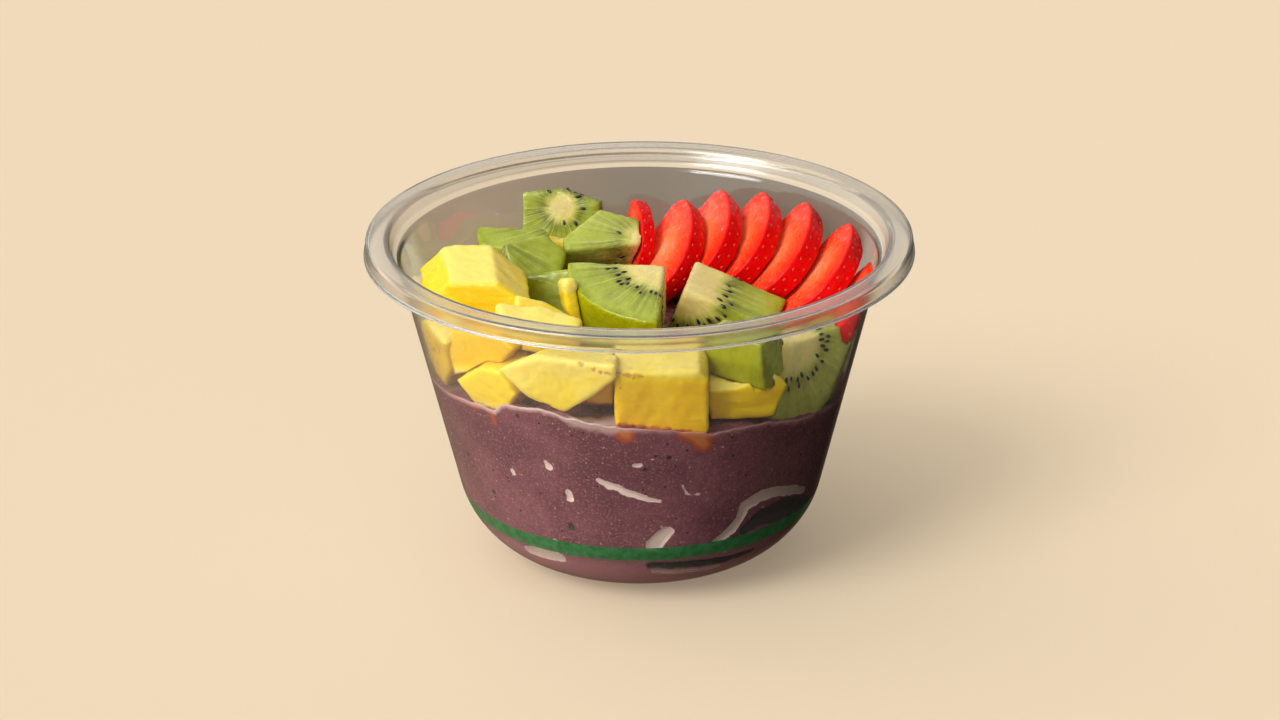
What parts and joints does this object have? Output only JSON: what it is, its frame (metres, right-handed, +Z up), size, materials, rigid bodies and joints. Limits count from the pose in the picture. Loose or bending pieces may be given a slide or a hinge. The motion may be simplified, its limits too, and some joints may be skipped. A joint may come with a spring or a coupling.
{
  "type": "acai bowl",
  "caption": "Clear deli tub of purple acai cream topped with diced mango, kiwi pieces and a fan of strawberry slices.",
  "frame": {"origin": "middle of the tub's foot, on the surface that it stands on", "axes": "+Z up along the tub's axis, -Y towards the side with the mango cube, +X towards the right"},
  "size_m": [0.1188, 0.1188, 0.0724],
  "materials": {
    "clear_plastic": "clear, glossy, with a green line printed round the foot",
    "acai_cream": "moist, smooth, with tiny specks",
    "mango_flesh": "moist cut fruit",
    "kiwi_flesh": "moist cut fruit with black seeds",
    "strawberry_flesh": "moist cut fruit, glossy skin"
  },
  "bodies": {
    "root": {"acai": "acai_cream", "kiwi_centre": "kiwi_flesh", "kiwi_far": "kiwi_flesh", "kiwi_far_left": "kiwi_flesh", "kiwi_front_quarter": "kiwi_flesh", "kiwi_front_right": "kiwi_flesh", "kiwi_inner_back": "kiwi_flesh", "kiwi_left": "kiwi_flesh", "kiwi_left_wall": "kiwi_flesh", "kiwi_ridge": "kiwi_flesh", "kiwi_right_back": "kiwi_flesh", "kiwi_right_wall": "kiwi_flesh", "kiwi_under_quarter": "kiwi_flesh", "mango_back_right": "mango_flesh", "mango_back_wall": "mango_flesh", "mango_behind_plate": "mango_flesh", "mango_big_left": "mango_flesh", "mango_cube": "mango_flesh", "mango_inner_left": "mango_flesh", "mango_inner_right": "mango_flesh", "mango_left_middle": "mango_flesh", "mango_left_wall": "mango_flesh", "mango_low_left": "mango_flesh", "mango_low_right": "mango_flesh", "mango_middle": "mango_flesh", "mango_pale_slab": "mango_flesh", "mango_plate": "mango_flesh", "mango_sliver": "mango_flesh", "strawberry_fan_1": "strawberry_flesh", "strawberry_fan_2": "strawberry_flesh", "strawberry_fan_3": "strawberry_flesh", "strawberry_fan_4": "strawberry_flesh", "strawberry_fan_5": "strawberry_flesh", "strawberry_fan_6": "strawberry_flesh", "strawberry_upright": "strawberry_flesh", "tub": "clear_plastic"}
  },
  "joints": []
}
